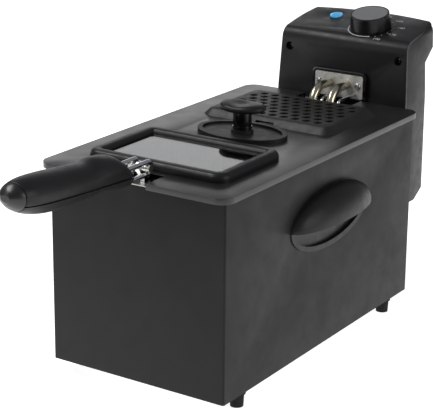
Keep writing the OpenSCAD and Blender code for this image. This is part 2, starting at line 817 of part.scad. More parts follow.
module filter_cover() color("#333431") home() difference() {
    translate([0, filter_y, z_lid]) union() {
        ring_sweep(filter_w - 14, filter_l - 14, 5)
            polygon([[7, 0], [1, filter_h - 0.8], [-0.5, filter_h], [-2, filter_h], [-2, filter_h - 1.8], [4.5, 0]]);
        translate([0, 0, filter_h - 1.8]) linear_extrude(1.8) rounded(filter_w - 17, filter_l - 17, 4);
    }
    filter_holes();
    // finger notch in the front edge
    translate([-10, filter_y - filter_l / 2 - 1, z_lid - 1]) cube([20, 6, 4]);
}

housing();
base_plate();
feet();
foot_screws();
side_handle_left();
side_handle_right();
handle_screws();
guide_rails();
rail_rivets();
oil_pan();
front_shell();
rear_cover();
hanger_plate();
case_screws();
rear_screws();
dial_ring();
lamp_lens();
neon_lamp();
thermostat();
element_block();
element_plate();
element_screws();
heating_element();
sensor_tubes();
sensor_clamp();
terminal_block();
lead_wires();
thermal_cutout();
microswitch();
cord_gland();
knob();
knob_insert();
knob_shaft();
reset_button();
switch_plunger();
basket_mesh();
basket_hoops();
basket_struts();
basket_feet();
basket_bracket();
pivot_pin();
handle_wires();
grip_upper();
grip_lower();
grip_end_cap();
lid_panel();
lid_liner();
window_frame();
window_glass();
window_seal();
lid_handle_base();
lid_handle_stem();
lid_handle_cap();
lid_handle_screw();
filter_tray();
filter_mat();
filter_cover();
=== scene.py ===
"""Looks of a cold-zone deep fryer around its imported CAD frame.

Metres, in the frame's own axes: +X right, +Y to the control unit, +Z up.
"""

import json
import math

import bmesh
import bpy
from mathutils import Matrix, Vector


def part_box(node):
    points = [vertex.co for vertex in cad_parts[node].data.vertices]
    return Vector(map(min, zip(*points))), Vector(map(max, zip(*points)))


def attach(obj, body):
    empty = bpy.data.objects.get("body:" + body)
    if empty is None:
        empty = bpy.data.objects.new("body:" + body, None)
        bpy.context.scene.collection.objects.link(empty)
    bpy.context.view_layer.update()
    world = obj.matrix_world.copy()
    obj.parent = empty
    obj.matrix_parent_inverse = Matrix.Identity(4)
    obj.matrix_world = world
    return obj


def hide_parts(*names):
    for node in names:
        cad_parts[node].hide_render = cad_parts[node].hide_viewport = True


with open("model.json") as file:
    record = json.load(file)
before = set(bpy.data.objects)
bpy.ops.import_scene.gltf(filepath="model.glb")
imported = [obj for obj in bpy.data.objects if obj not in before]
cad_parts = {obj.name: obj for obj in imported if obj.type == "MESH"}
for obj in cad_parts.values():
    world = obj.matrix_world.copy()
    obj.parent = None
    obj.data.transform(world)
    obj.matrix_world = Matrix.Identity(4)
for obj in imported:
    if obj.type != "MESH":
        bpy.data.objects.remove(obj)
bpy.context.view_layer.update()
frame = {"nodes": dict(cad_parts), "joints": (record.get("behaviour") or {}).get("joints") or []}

MM = 0.001


# ---- camera ------------------------------------------------------------------

LID_LOW, LID_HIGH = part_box("lid_panel")
LID_MID = (LID_LOW + LID_HIGH) / 2
LID_TOP = LID_HIGH.z

# Where the camera stands from the middle of the lid's top, and how it is turned, so that
# the fryer is seen from the photograph's angle
CAMERA_FROM_LID = Vector((0.7768, -1.22465, 0.40543))
CAMERA_AZIMUTH = math.radians(33.22)
CAMERA_ELEVATION = math.radians(18.08)
CAMERA_ROLL = math.radians(0.55)
CAMERA_LENS = 134.6


def make_camera():
    data = bpy.data.cameras.new("camera")
    data.lens = CAMERA_LENS
    data.sensor_width = 36
    data.clip_end = 20
    camera = bpy.data.objects.new("camera", data)
    bpy.context.scene.collection.objects.link(camera)
    flat = math.cos(CAMERA_ELEVATION)
    back = Vector((
        math.sin(CAMERA_AZIMUTH) * flat,
        -math.cos(CAMERA_AZIMUTH) * flat,
        math.sin(CAMERA_ELEVATION),
    ))
    right = Vector((math.cos(CAMERA_AZIMUTH), math.sin(CAMERA_AZIMUTH), 0))
    up = back.cross(right)
    turned_right = right * math.cos(CAMERA_ROLL) + up * math.sin(CAMERA_ROLL)
    turned_up = up * math.cos(CAMERA_ROLL) - right * math.sin(CAMERA_ROLL)
    place = Vector((LID_MID.x, LID_MID.y, LID_TOP)) + CAMERA_FROM_LID
    rows = [[turned_right[i], turned_up[i], back[i], place[i]] for i in range(3)]
    camera.matrix_world = Matrix(rows + [[0, 0, 0, 1]])
    bpy.context.scene.camera = camera


# ---- shader building ---------------------------------------------------------

class Shader:
    """A material and short calls for the nodes that it needs."""

    def __init__(self, name, colour, rough, metal=0.0, **sockets):
        self.material = bpy.data.materials.new(name)
        self.material.use_nodes = True
        self.tree = self.material.node_tree
        self.surface = self.tree.nodes["Principled BSDF"]
        self.colour = (*colour, 1)
        self.set(Base_Color=self.colour, Roughness=rough, Metallic=metal, **sockets)
        self.places = self.tree.nodes.new("ShaderNodeTexCoord").outputs["Object"]

    def set(self, **sockets):
        for name, value in sockets.items():
            self.surface.inputs[name.replace("_", " ")].default_value = value

    def link(self, out, node, key):
        self.tree.links.new(out, node.inputs[key])

    def stretched(self, x, y, z):
        node = self.tree.nodes.new("ShaderNodeMapping")
        node.inputs["Scale"].default_value = (x, y, z)
        self.link(self.places, node, "Vector")
        return node.outputs["Vector"]

    def noise(self, scale, detail=3.0, rough=0.5, where=None):
        node = self.tree.nodes.new("ShaderNodeTexNoise")
        node.inputs["Scale"].default_value = scale
        node.inputs["Detail"].default_value = detail
        node.inputs["Roughness"].default_value = rough
        self.link(where or self.places, node, "Vector")
        return node.outputs["Fac"]

    def cells(self, scale):
        node = self.tree.nodes.new("ShaderNodeTexVoronoi")
        node.inputs["Scale"].default_value = scale
        self.link(self.places, node, "Vector")
        return node.outputs["Distance"]

    def fit(self, value, low, high, out_low, out_high):
        node = self.tree.nodes.new("ShaderNodeMapRange")
        self.link(value, node, "Value")
        for key, number in zip(("From Min", "From Max", "To Min", "To Max"), (low, high, out_low, out_high)):
            node.inputs[key].default_value = number
        return node.outputs["Result"]

    def height(self):
        """Height of the point being shaded, in the node's own frame."""
        node = self.tree.nodes.new("ShaderNodeSeparateXYZ")
        self.link(self.places, node, "Vector")
        return node.outputs["Z"]

    def plus(self, a, b):
        node = self.tree.nodes.new("ShaderNodeMath")
        node.operation = "ADD"
        self.link(a, node, 0)
        self.link(b, node, 1)
        return node.outputs[0]

    def mix(self, share, low, high):
        node = self.tree.nodes.new("ShaderNodeMix")
        node.data_type = "RGBA"
        self.link(share, node, 0)
        for key, value in ((6, low), (7, high)):
            if isinstance(value, tuple):
                node.inputs[key].default_value = (*value[:3], 1)
            else:
                self.link(value, node, key)
        return node.outputs[2]

    def paint(self, colour):
        self.link(colour, self.surface, "Base Color")

    def shine(self, rough):
        self.link(rough, self.surface, "Roughness")

    def relief(self, height, depth, strength=1.0):
        """Bump of this height map, depth metres deep, on top of any earlier relief."""
        node = self.tree.nodes.new("ShaderNodeBump")
        node.inputs["Strength"].default_value = strength
        node.inputs["Distance"].default_value = depth
        self.link(height, node, "Height")
        below = self.surface.inputs["Normal"].links
        if below:
            self.tree.links.new(below[0].from_socket, node.inputs["Normal"])
        self.link(node.outputs["Normal"], self.surface, "Normal")

    def cloudy(self, scale, spread):
        """Lets the base colour drift by spread."""
        mask = self.fit(self.noise(scale, 4), 0.35, 0.65, 0, 1)
        dark = tuple(c * (1 - spread) for c in self.colour[:3])
        light = tuple(min(1, c * (1 + spread)) for c in self.colour[:3])
        self.paint(self.mix(mask, dark, light))


def srgb(text):
    """Linear colour of a six-digit hex code."""
    parts = [int(text[i:i + 2], 16) / 255 for i in (0, 2, 4)]
    return tuple(c / 12.92 if c < 0.04045 else ((c + 0.055) / 1.055) ** 2.4 for c in parts)


# ---- materials ---------------------------------------------------------------

def painted_sheet():
    s = Shader("painted_sheet", srgb("151516"), 0.42, Specular_IOR_Level=0.2, Coat_Weight=0.03)
    s.set(Coat_Roughness=0.3)
    s.cloudy(9, 0.06)
    s.shine(s.fit(s.noise(60, 5), 0.3, 0.7, 0.42, 0.52))
    s.relief(s.noise(900, 2), 0.00006, 0.5)
    s.relief(s.cells(1600), 0.00003, 0.35)
    return s.material


def lid_enamel():
    """Enamel painted near black over the last millimetre down to the lid's rim, as painted shade on the
    rim's sides.
    """
    s = Shader("lid_enamel", srgb("1c1c1d"), 0.36, Specular_IOR_Level=0.55, Coat_Weight=0.1)
    s.set(Coat_Roughness=0.22)
    s.cloudy(11, 0.08)
    top = max(v.co.z for v in frame["nodes"]["lid_panel"].data.vertices)
    # Mask of the painted shade on the rim: from 1.4 mm below the lid's top its sides are painted near black
    # instead of the enamel
    rim_painted_shade = s.fit(s.height(), top - 1.4 * MM, top - 0.6 * MM, 0, 1)
    enamel = s.mix(s.fit(s.noise(11, 5), 0.3, 0.7, 0, 1), srgb("1b1b1c"), srgb("1f1f20"))
    s.paint(s.mix(rim_painted_shade, srgb("060607"), enamel))
    s.shine(s.fit(s.noise(45, 5), 0.3, 0.7, 0.3, 0.37))
    s.relief(s.noise(700, 3), 0.00003, 0.3)
    return s.material


def black_plastic():
    s = Shader("black_plastic", srgb("1e1e1f"), 0.38, Specular_IOR_Level=0.25)
    s.cloudy(26, 0.08)
    s.shine(s.fit(s.noise(120, 4), 0.3, 0.7, 0.33, 0.46))
    s.relief(s.cells(1500), 0.00005, 0.35)
    s.relief(s.noise(3200, 2), 0.00003, 0.35)
    return s.material


def gloss_black():
    s = Shader("gloss_black", srgb("0e0e0f"), 0.16, Coat_Weight=0.5)
    s.set(Coat_Roughness=0.06)
    s.cloudy(60, 0.2)
    s.shine(s.fit(s.noise(160, 4), 0.3, 0.7, 0.12, 0.22))
    s.relief(s.noise(420, 2), 0.00002, 0.3)
    return s.material


def rubber():
    s = Shader("rubber", srgb("1a1a1a"), 0.78, Specular_IOR_Level=0.3)
    s.cloudy(150, 0.18)
    s.shine(s.fit(s.noise(300, 4), 0.3, 0.7, 0.7, 0.88))
    s.relief(s.noise(1500, 4), 0.00012, 0.6)
    return s.material


def stainless():
    """Sheet metal with fine grinding marks square to X."""
    colour, rough, tint = srgb("c9c7c0"), 0.3, 0.08
    s = Shader("stainless", colour, rough, 1.0)
    lines = s.noise(14, 5, 0.7, s.stretched(60, 1, 1))
    s.paint(s.mix(
        s.fit(lines, 0.3, 0.7, 0, 1),
        tuple(c * (1 - tint) for c in colour),
        tuple(min(1, c * (1 + tint)) for c in colour),
    ))
    ground = s.fit(lines, 0.3, 0.7, rough - 0.06, rough + 0.06)
    s.shine(s.plus(ground, s.fit(s.noise(30), 0.3, 0.7, -0.04, 0.04)))
    s.relief(lines, 0.00002, 0.35)
    return s.material


def zinc_steel():
    s = Shader("zinc_steel", srgb("a9abae"), 0.38, 1.0)
    flakes = s.cells(160)
    s.paint(s.mix(s.fit(flakes, 0, 0.7, 0, 1), srgb("8f9296"), srgb("bfc1c4")))
    s.shine(s.fit(s.noise(90, 4), 0.3, 0.7, 0.3, 0.46))
    s.relief(s.noise(600, 3), 0.00002, 0.3)
    return s.material


def chrome():
    s = Shader("chrome", srgb("dfe1e4"), 0.07, 1.0)
    s.cloudy(70, 0.04)
    s.shine(s.fit(s.noise(220, 5), 0.35, 0.7, 0.05, 0.12))
    s.relief(s.noise(500, 2), 0.00001, 0.25)
    return s.material


def plate_metal():
    s = Shader("plate_metal", srgb("d8d5d0"), 0.5, 0.6)
    blotches = s.noise(120, 6, 0.75)
    s.paint(s.mix(s.fit(blotches, 0.32, 0.68, 0, 1), srgb("aca9a4"), srgb("f0eee9")))
    s.shine(s.fit(s.noise(300, 5), 0.3, 0.7, 0.42, 0.62))
    s.relief(s.noise(700, 4), 0.00005, 0.6)
    return s.material


def knob_skirt():
    s = Shader("knob_skirt", srgb("0b0b0c"), 0.3, Specular_IOR_Level=0.28)
    s.cloudy(70, 0.1)
    s.shine(s.fit(s.noise(200, 4), 0.3, 0.7, 0.26, 0.36))
    s.relief(s.noise(1800, 2), 0.00003, 0.3)
    return s.material


def heater_sheath():
    s = Shader("heater_sheath", srgb("b8b09a"), 0.27, 1.0)
    heat = s.fit(s.noise(38, 4, 0.6), 0.35, 0.68, 0, 1)
    s.paint(s.mix(heat, srgb("d8d2bf"), srgb("b5ac94")))
    s.shine(s.fit(s.noise(70, 4), 0.3, 0.7, 0.2, 0.27))
    s.relief(s.noise(900, 3), 0.00001, 0.3)
    return s.material


def glass():
    s = Shader("glass", srgb("dfe8e8"), 0.04, Transmission_Weight=1.0, IOR=1.5)
    s.paint(s.mix(s.fit(s.noise(14, 3), 0.3, 0.7, 0, 1), srgb("6f7675"), srgb("7b8281")))
    s.shine(s.fit(s.noise(9, 2), 0.3, 0.7, 0.03, 0.05))
    return s.material


def silicone():
    s = Shader("silicone", srgb("3a3a3a"), 0.6, Specular_IOR_Level=0.35)
    s.cloudy(120, 0.12)
    s.relief(s.noise(1100, 3), 0.00006, 0.4)
    return s.material


def dial_print():
    s = Shader("dial_print", srgb("b9bcbe"), 0.5)
    s.cloudy(700, 0.12)
    s.relief(s.noise(2600, 2), 0.00002, 0.4)
    return s.material


def knob_top():
    s = Shader("knob_top", srgb("77787a"), 0.34, 0.15)
    s.cloudy(80, 0.07)
    s.shine(s.fit(s.noise(900, 4), 0.3, 0.7, 0.3, 0.42))
    s.relief(s.noise(1800, 3), 0.00002, 0.35)
    return s.material


def lamp_blue():
    s = Shader("lamp_blue", srgb("4aa6dc"), 0.12, Transmission_Weight=0.35, IOR=1.49)
    s.set(Coat_Weight=0.6, Coat_Roughness=0.05, Emission_Color=(0.12, 0.5, 0.85, 1), Emission_Strength=0.3)
    s.paint(s.mix(s.fit(s.noise(190, 3), 0.35, 0.65, 0, 1), srgb("3f9ad2"), srgb("7fd0f2")))
    s.relief(s.cells(900), 0.00008, 0.4)
    return s.material


def neon_glass():
    s = Shader("neon_glass", srgb("e8a071"), 0.1, Transmission_Weight=0.8, IOR=1.5)
    s.cloudy(200, 0.15)
    return s.material


def ceramic():
    s = Shader("ceramic", srgb("ddd8ca"), 0.5)
    s.cloudy(90, 0.06)
    s.relief(s.noise(1300, 4), 0.00008, 0.5)
    return s.material


def wire_insulation():
    s = Shader("wire_insulation", srgb("8c2f26"), 0.5)
    s.cloudy(260, 0.14)
    s.relief(s.noise(1500, 3), 0.00006, 0.4)
    return s.material


def button_red():
    s = Shader("button_red", srgb("a52a22"), 0.34)
    s.cloudy(180, 0.08)
    s.relief(s.noise(1400, 2), 0.00004, 0.3)
    return s.material


def grip_plug():
    s = Shader("grip_plug", srgb("1b1b1c"), 0.32, Specular_IOR_Level=0.5)
    s.cloudy(60, 0.12)
    s.shine(s.fit(s.noise(160, 4), 0.3, 0.7, 0.26, 0.4))
    s.relief(s.noise(1500, 2), 0.00003, 0.3)
    return s.material


def filter_plastic():
    s = Shader("filter_plastic", srgb("1c1c19"), 0.5, Specular_IOR_Level=0.4)
    s.cloudy(34, 0.1)
    s.shine(s.fit(s.noise(140, 4), 0.3, 0.7, 0.44, 0.56))
    s.relief(s.cells(1300), 0.00005, 0.35)
    return s.material


def filter_foam():
    s = Shader("filter_foam", srgb("4a4844"), 0.95, Specular_IOR_Level=0.1)
    s.cloudy(240, 0.3)
    s.relief(s.cells(900), 0.0006, 0.8)
    return s.material


MAKERS = (
    painted_sheet, lid_enamel, black_plastic, gloss_black, rubber, stainless, zinc_steel, chrome,
    heater_sheath, glass, silicone, dial_print, knob_top, lamp_blue, neon_glass, ceramic,
    wire_insulation, button_red, filter_foam, grip_plug, plate_metal, knob_skirt, filter_plastic,
)
MATERIALS = {make.__name__: make() for make in MAKERS}

# CAD nodes whose finish isn't the one that their slot is named after
FINISHES = {
    "element_plate": "plate_metal", "knob": "knob_skirt", "filter_cover": "filter_plastic",
    "lid_handle_stem": "gloss_black", "lid_handle_base": "filter_plastic",
}


def dress_cad():
    """Gives each CAD node the finish of its material slot."""
    for node in frame["nodes"].values():
        for place in node.material_slots:
            place.material = MATERIALS[place.material.name.split(".")[0]]
    for name, finish in FINISHES.items():
        for place in frame["nodes"][name].material_slots:
            place.material = MATERIALS[finish]


# ---- mesh building -----------------------------------------------------------

SHARP_ANGLE = math.radians(50)
WIRE_SIDES = 4
BEVEL_SEGMENTS = 3
BEVEL_ANGLE = math.radians(32)


def skin(rows, first_cap=False, last_cap=False):
    """Points and faces of the surface through closed rows of equally many points."""
    count = len(rows[0])
    points = [p for row in rows for p in row]
    faces = []
    for i in range(len(rows) - 1):
        for k in range(count):
            a = i * count + k
            b = i * count + (k + 1) % count
            faces.append((a, b, b + count, a + count))
    if first_cap:
        faces.append(tuple(reversed(range(count))))
    if last_cap:
        faces.append(tuple((len(rows) - 1) * count + k for k in range(count)))
    return points, faces


def joined(parts):
    """One shape out of many."""
    points, faces = [], []
    for more_points, more_faces in parts:
        start = len(points)
        points += more_points
        faces += [tuple(start + k for k in face) for face in more_faces]
    return points, faces


def piece(name, shape, finish, body, stands_for=()):
    """An object of this shape that rides on a body."""
    mesh = bpy.data.meshes.new(name)
    mesh.from_pydata(shape[0], [], shape[1])
    work = bmesh.new()
    work.from_mesh(mesh)
    bmesh.ops.recalc_face_normals(work, faces=work.faces)
    work.to_mesh(mesh)
    work.free()
    mesh.polygons.foreach_set("use_smooth", [True] * len(mesh.polygons))
    mesh.set_sharp_from_angle(angle=SHARP_ANGLE)
    mesh.materials.append(MATERIALS[finish])
    made = bpy.data.objects.new(name, mesh)
    bpy.context.scene.collection.objects.link(made)
    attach(made, body)
    if stands_for:
        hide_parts(*stands_for)
    return made


def smooth_rows(rows, steps):
    """Rows eased between the given ones by Catmull-Rom."""
    eased = []
    for i in range(len(rows) - 1):
        around = rows[max(i - 1, 0)], rows[i], rows[i + 1], rows[min(i + 2, len(rows) - 1)]
        for k in range(steps):
            t = k / steps
            eased.append(tuple(
                b + 0.5 * t * (c - a + t * (2 * a - 5 * b + 4 * c - d + t * (3 * b - a - 3 * c + d)))
                for a, b, c, d in zip(*around)
            ))
    return eased + [rows[-1]]


def wire(path, radius, closed=False):
    """A tube along a path, with a ring of points square to it at each of its points."""
    rows = []
    last = len(path) - 1
    normal = None
    for i, here in enumerate(path):
        after = path[(i + 1) % len(path)] if closed else path[min(i + 1, last)]
        before = path[i - 1] if closed else path[max(i - 1, 0)]
        along = (after - before).normalized()
        if normal is None:
            normal = along.orthogonal().normalized()
        normal = (normal - along * normal.dot(along)).normalized()
        across = along.cross(normal)
        turns = [2 * math.pi * k / WIRE_SIDES for k in range(WIRE_SIDES)]
        rows.append([here + (normal * math.cos(t) + across * math.sin(t)) * radius for t in turns])
    if closed:
        rows.append(rows[0])
    return skin(rows, first_cap=not closed, last_cap=not closed)


def swell(node, growth):
    """Thickens a CAD node with a modifier."""
    modifier = frame["nodes"][node].modifiers.new("swell", "DISPLACE")
    modifier.strength = growth
    modifier.mid_level = 0


def soften(node, width):
    """Rounds the sharp edges of a CAD node with modifiers, which leave its mesh as it is."""
    cad = frame["nodes"][node]
    cad.data.polygons.foreach_set("use_smooth", [True] * len(cad.data.polygons))
    weld = cad.modifiers.new("weld", "WELD")
    weld.merge_threshold = 0.00001
    bevel = cad.modifiers.new("bevel", "BEVEL")
    bevel.width = width
    bevel.segments = BEVEL_SEGMENTS
    bevel.limit_method = "ANGLE"
    bevel.angle_limit = BEVEL_ANGLE
    bevel.harden_normals = False
    bevel.use_clamp_overlap = True
    split = cad.modifiers.new("split", "EDGE_SPLIT")
    split.split_angle = BEVEL_ANGLE
    split.use_edge_sharp = False


# ---- basket handle grip ------------------------------------------------------

# Distance from the grip's wire end, height of its middle above the lid, half height
# and half width, in millimetres
GRIP = [
    (0, 6.5, 6, 11), (5, 8.6, 9, 12.4), (13, 12, 12.2, 13.8), (25, 15.2, 14.8, 15.2),
    (41, 17, 15.4, 16.2), (57, 16, 15.2, 16), (81, 17.2, 16.4, 16.6), (109, 19.6, 16.8, 17),
    (129, 22.2, 15, 16), (141.5, 24, 11.6, 13.2), (148, 25, 7.4, 9.4), (151.6, 25.4, 3, 4.6),
]
GRIP_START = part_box("grip_upper")[1].y
END_CAP_AT = (GRIP_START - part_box("grip_end_cap")[1].y) / MM

# The parting line between the halves, in millimetres from the wire end and above the lid
PARTING_START = 6.5
PARTING_RISE = math.tan(math.radians(4.5))
PARTING_GAP = 0.28
PARTING_ROUND = 0.35
PARTING_LIP = 0.6
STEEPEST_SINE = 0.97

# Round the wires the underside is fuller and squarer, which fades out about this far on
WIRE_REACH = 24
WIRE_FULLNESS = 0.14
WIRE_SQUARENESS = 0.3

# The halves' ends are rounded over these lengths, and stop this short of the end cap
WIRE_END_ROUND = 0.8
CAP_END_ROUND = 0.55
CAP_END_GAP = 0.35


def grip_section(s, middle, half_height, half_width, upper, shrink=1.0, sides=40):
    """Closed outline of the upper or lower half of the grip at distance s."""
    half_height *= shrink
    half_width *= shrink
    squareness = 0 if upper else 1 / (1 + (s / WIRE_REACH) ** 4)
    half_height *= 1 + WIRE_FULLNESS * squareness
    power = 1 - WIRE_SQUARENESS * squareness
    side = 1 if upper else -1
    parting = PARTING_START + s * PARTING_RISE + side * PARTING_GAP
    sine = max(-STEEPEST_SINE, min(STEEPEST_SINE, (parting - middle) / half_height))
    start = math.asin(math.copysign(abs(sine) ** (1 / power), sine))
    sweep = math.pi - 2 * start if upper else -math.pi - 2 * start
    outline = []
    for k in range(sides + 1):
        turn = start + sweep * k / sides
        lift = PARTING_ROUND * side if k in (0, sides) else 0
        x = math.copysign(abs(math.cos(turn)) ** power, math.cos(turn))
        z = math.copysign(abs(math.sin(turn)) ** power, math.sin(turn))
        outline.append((half_width * x, middle + half_height * z + lift))
    first_x, last_x = outline[0][0], outline[-1][0]
    outline.insert(0, (first_x - PARTING_LIP, parting))
    outline.append((last_x + PARTING_LIP, parting))
    return [Vector((x * MM, GRIP_START - s * MM, LID_TOP + z * MM)) for x, z in outline]


def grip_round(s, middle, half_height, half_width, shrink=1.0, sides=72):
    """Full oval outline of the grip at distance s."""
    turns = [2 * math.pi * k / sides for k in range(sides)]
    return [
        Vector((
            half_width * shrink * math.cos(t) * MM,
            GRIP_START - s * MM,
            LID_TOP + (middle + half_height * shrink * math.sin(t)) * MM,
        ))
        for t in turns
    ]


def station(stations, s):
    """The station at distance s, between the given ones."""
    for a, b in zip(stations, stations[1:]):
        if a[0] <= s <= b[0]:
            share = (s - a[0]) / (b[0] - a[0])
            return tuple(p + (q - p) * share for p, q in zip(a, b))
    return stations[-1]


def make_grip_half(name, node, upper, eased):
    rows = [
        grip_section(*eased[0], upper, 0.9),
        grip_section(*station(eased, WIRE_END_ROUND), upper),
    ]
    stop = END_CAP_AT - CAP_END_GAP
    round_from = stop - CAP_END_ROUND
    rows += [grip_section(*r, upper) for r in eased if 1 < r[0] < round_from - 0.5]
    rows += [
        grip_section(*station(eased, round_from), upper),
        grip_section(*station(eased, stop), upper, 0.965),
    ]
    shell = skin(rows, first_cap=True, last_cap=True)
    piece(name, shell, "black_plastic", "basket_handle", [node])


def make_grip():
    eased = smooth_rows(GRIP, 7)
    make_grip_half("grip_top_shell", "grip_upper", True, eased)
    make_grip_half("grip_bottom_shell", "grip_lower", False, eased)
    rows = [
        grip_round(*station(eased, END_CAP_AT + 0.1), 0.95),
        grip_round(*station(eased, END_CAP_AT + 0.6)),
    ]
    rows += [grip_round(*r) for r in eased if r[0] > END_CAP_AT + 1]
    tip = eased[-1]
    rows += [grip_round(*tip, 0.85), grip_round(*tip, 0.15)]
    piece("grip_end_plug", skin(rows, first_cap=True, last_cap=True), "grip_plug", "basket_handle",
          ["grip_end_cap"])


# ---- lid knob ----------------------------------------------------------------

# Side of the lid knob's cap: share of its half width, share of its height
CAP_PROFILE = [
    (0.02, 0), (0.5, 0), (0.82, 0), (0.9, 0.03), (0.96, 0.12), (0.99, 0.26), (1, 0.4),
    (0.985, 0.56), (0.945, 0.71), (0.88, 0.83), (0.79, 0.91), (0.69, 0.955), (0.58, 0.985),
    (0.46, 1), (0.34, 1.01), (0.22, 1.015), (0.12, 1.015), (0.02, 1.015),
]
SADDLE_FROM = 0.6
SADDLE_DEPTH = 0.36
SADDLE_WIDTH = 0.42
SADDLE_LENGTH = 0.95


def make_knob_cap():
    low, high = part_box("lid_handle_cap")
    middle = (low + high) / 2
    half = (high - low) / 2
    height = high.z - low.z
    sides = 72
    rows = []
    for radius, lift in smooth_rows(CAP_PROFILE, 2):
        row = []
        for k in range(sides):
            turn = 2 * math.pi * k / sides
            x, y = radius * math.cos(turn), radius * math.sin(turn)
            dip = 0
            if lift > SADDLE_FROM:
                dip = SADDLE_DEPTH * math.exp(-(x / SADDLE_WIDTH) ** 2 - (y / SADDLE_LENGTH) ** 2)
            z = low.z + (lift - dip) * height
            row.append(Vector((middle.x + x * half.x, middle.y + y * half.y, z)))
        rows.append(row)
    cap = skin(rows, first_cap=True, last_cap=True)
    piece("lid_knob_cap", cap, "black_plastic", "lid", ["lid_handle_cap"])


# ---- screw heads -------------------------------------------------------------

# Side of a pan head up to its recess: share of its radius, share of its height
HEAD_PROFILE = [(0.96, 0), (1, 0.15), (1, 0.35), (0.93, 0.66), (0.8, 0.88), (0.7, 0.97)]
CROSS_ARM = 0.6
CROSS_WIDTH = 0.13


def screw_head(centre, axis, radius, height, turn=0.4):
    """A pan head with a cross recess, rising along the axis from its centre's underside."""
    axis = Vector(axis)
    right = axis.orthogonal().normalized()
    ahead = axis.cross(right)
    sides = 48

    def ring(reach, level):
        row = []
        for k in range(sides):
            angle = 2 * math.pi * k / sides + turn
            r = reach(angle - turn) * radius
            spoke = right * math.cos(angle) + ahead * math.sin(angle)
            row.append(centre + spoke * r + axis * level * height)
        return row

    def cross(scale):
        arm, width = CROSS_ARM * scale, CROSS_WIDTH * scale

        def reach(angle):
            c, s = abs(math.cos(angle)), abs(math.sin(angle))
            big, small = max(c, s), min(c, s)
            if small * arm < width * big:
                return arm / big
            return max(width / small, width * math.sqrt(2) * 0.9) if small else arm
        return reach

    rows = [ring(lambda a: share, level) for share, level in HEAD_PROFILE]
    rows += [ring(cross(1.0), 1), ring(cross(0.86), 0.45), ring(lambda a: 0.04, 0.3)]
    return skin(rows, first_cap=True, last_cap=True)


PLATE_HEAD = 1.8 * MM
CASE_HEAD = 2 * MM
REAR_HEAD = 1.8 * MM
REAR_RADIUS = 3.5 * MM


def make_front_screws(node, name, finish, height, turns):
    """Two heads that face the front, where the node's own screws are."""
    low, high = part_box(node)
    radius = (high.z - low.z) / 2
    y = low.y + height
    z = (low.z + high.z) / 2
    heads = [
        screw_head(Vector((x, y, z)), (0, -1, 0), radius, height, turn)
        for x, turn in zip((low.x + radius, high.x - radius), turns)
    ]
    piece(name, joined(heads), finish, "control_unit", [node])


def make_screws():
    make_front_screws("element_screws", "element_screw_heads", "zinc_steel", PLATE_HEAD, (0.3, 1.1))
    # The case screws take the gloss black finish, not their zinc steel: painted shade of the deep recesses
    # that they sit in
    make_front_screws("case_screws", "case_screw_heads", "gloss_black", CASE_HEAD, (0.4, 0.4))
    low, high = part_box("rear_screws")
    heads = []
    for x in (low.x + REAR_RADIUS, high.x - REAR_RADIUS):
        for z in (low.z + REAR_RADIUS, high.z - REAR_RADIUS):
            place = Vector((x, high.y - REAR_HEAD, z))
            turn = 0.2 + len(heads)
            heads.append(screw_head(place, (0, 1, 0), REAR_RADIUS, REAR_HEAD, turn))
    piece("rear_screw_heads", joined(heads), "zinc_steel", "control_unit", ["rear_screws"])


# ---- dial --------------------------------------------------------------------

def joint(name):
    return next(j for j in frame["joints"] if j["name"] == name)


def panel_axes():
    """Middle of the dial on the panel, and the panel's right, up and outward directions."""
    low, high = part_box("dial_ring")
    outward = Vector(joint("thermostat_turn")["axis"]).normalized()
    right = Vector((1, 0, 0))
    up = outward.cross(right)
    return (low + high) / 2 + outward * PRINT_LIFT, right, up, outward


PRINT_LIFT = 0.05 * MM
PRINT_LOW = -0.15 * MM
PRINT_HIGH = 0.14 * MM
ARC_START = math.radians(110)
ARC_END = math.radians(292)
ARC_STEPS = 60
ARC_FROM_RIM = 1.6 * MM
ARC_THIN = 0.25 * MM
ARC_GROWTH = 0.5 * MM

# Radius and height of the rings of the dot at the arc's end
DOT_PROFILE = [(1.2 * MM, PRINT_LOW), (1.2 * MM, 0.1 * MM), (1.05 * MM, 0.16 * MM)]

# Ticks, in degrees round the knob
FIRST_TICK = -52
TICK_STEP = 17
TICKS = 9
TICK_HALF_WIDTH = 0.22 * MM
NUMBERS = ("190", "175", "160", "145", "130")
NUMBER_SIZE = 5.6 * MM
NUMBER_FROM_ARC = 8.2 * MM


def printed_bar(corners, outward):
    """Section of a printed line: its two edges, at the print's bottom and top."""
    left, right = corners
    return [
        left + outward * PRINT_LOW, left + outward * PRINT_HIGH,
        right + outward * PRINT_HIGH, right + outward * PRINT_LOW,
    ]


def dial_arc(middle, right, up, outward, radius):
    """The arc round the knob, which widens towards the dot at its end."""
    rows = []
    for i in range(ARC_STEPS + 1):
        share = i / ARC_STEPS
        angle = ARC_START + (ARC_END - ARC_START) * share
        spoke = right * math.cos(angle) + up * math.sin(angle)
        width = ARC_THIN + ARC_GROWTH * share
        edges = middle + spoke * (radius - width), middle + spoke * (radius + width)
        rows.append(printed_bar(edges, outward))
    return skin(rows, first_cap=True, last_cap=True)


def dial_dot(middle, right, up, outward, radius):
    dot = middle + (right * math.cos(ARC_END) + up * math.sin(ARC_END)) * radius
    turns = [2 * math.pi * k / 24 for k in range(24)]
    rows = [
        [dot + (right * math.cos(a) + up * math.sin(a)) * r + outward * h for a in turns]
        for r, h in DOT_PROFILE
    ]
    return skin(rows, first_cap=True, last_cap=True)


def dial_tick(k, middle, right, up, outward, radius):
    angle = math.radians(FIRST_TICK + TICK_STEP * k)
    spoke = right * math.cos(angle) + up * math.sin(angle)
    across = outward.cross(spoke) * TICK_HALF_WIDTH
    length = 2.6 * MM if k % 2 == 0 else 1.5 * MM
    ends = middle + spoke * (radius + 0.4 * MM), middle + spoke * (radius + length)
    rows = [printed_bar((end - across, end + across), outward) for end in ends]
    return skin(rows, first_cap=True, last_cap=True)


